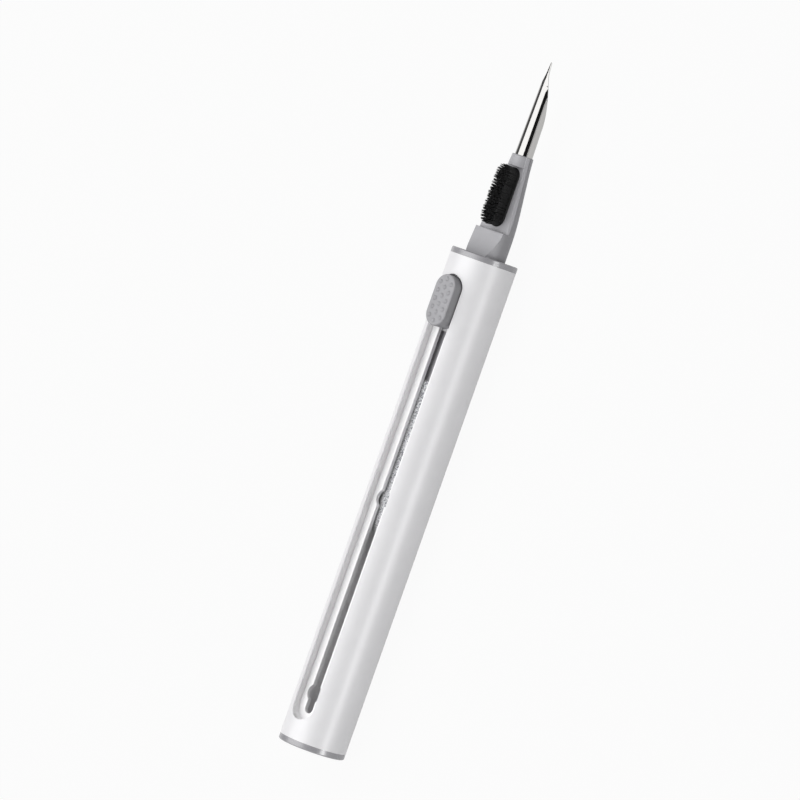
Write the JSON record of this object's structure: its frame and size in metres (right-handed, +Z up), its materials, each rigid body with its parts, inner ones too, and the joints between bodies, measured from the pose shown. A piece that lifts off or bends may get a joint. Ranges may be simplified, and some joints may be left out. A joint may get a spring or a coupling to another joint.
{
  "type": "slide-out cleaning pen",
  "caption": "Round pen-shaped cleaning tool: a thumb slide in a lengthwise channel brings out a steel nib with a small brush at one end or a flocked sponge at the other.",
  "frame": {"origin": "on the surface the pen lies on, under the middle of its overall length with the nib out", "axes": "+X along the pen towards the nib, +Y across it, +Z up through the thumb button"},
  "size_m": [0.1576, 0.015, 0.0169],
  "materials": {
    "barrel_white": "satin moulded",
    "collar_grey": "satin",
    "head_grey": "satin moulded",
    "button_grey": "fine matt",
    "nib_steel": "polished",
    "brush_black": "nylon fibre",
    "sponge_flock": "flocked",
    "inner_plastic": "moulded",
    "spring_steel": "drawn wire"
  },
  "bodies": {
    "barrel": {"barrel": "barrel_white", "nib_end_collar": "collar_grey", "sponge_end_collar": "collar_grey"},
    "carriage": {"carriage": "inner_plastic", "nib_holder": "head_grey", "nib": "nib_steel", "brush_pad": "brush_black", "bristles": "brush_black", "sponge_ferrule": "head_grey", "sponge_core": "inner_plastic", "sponge": "sponge_flock", "lock_spring": "spring_steel"},
    "button": {"button_cap": "button_grey", "lock_stem": "inner_plastic"}
  },
  "joints": [
    {"name": "carriage_slide", "type": "slide", "parent": "barrel", "child": "carriage", "axis": [1, 0, 0], "range_m": [-0.0895, 0]},
    {"name": "button_lift", "type": "slide", "parent": "carriage", "child": "button", "axis": [0, 0, 1], "range_m": [0, 0.0006], "stiffness_N_per_m": 300, "springref_m": 0.0006, "deforming": ["lock_spring"]}
  ]
}
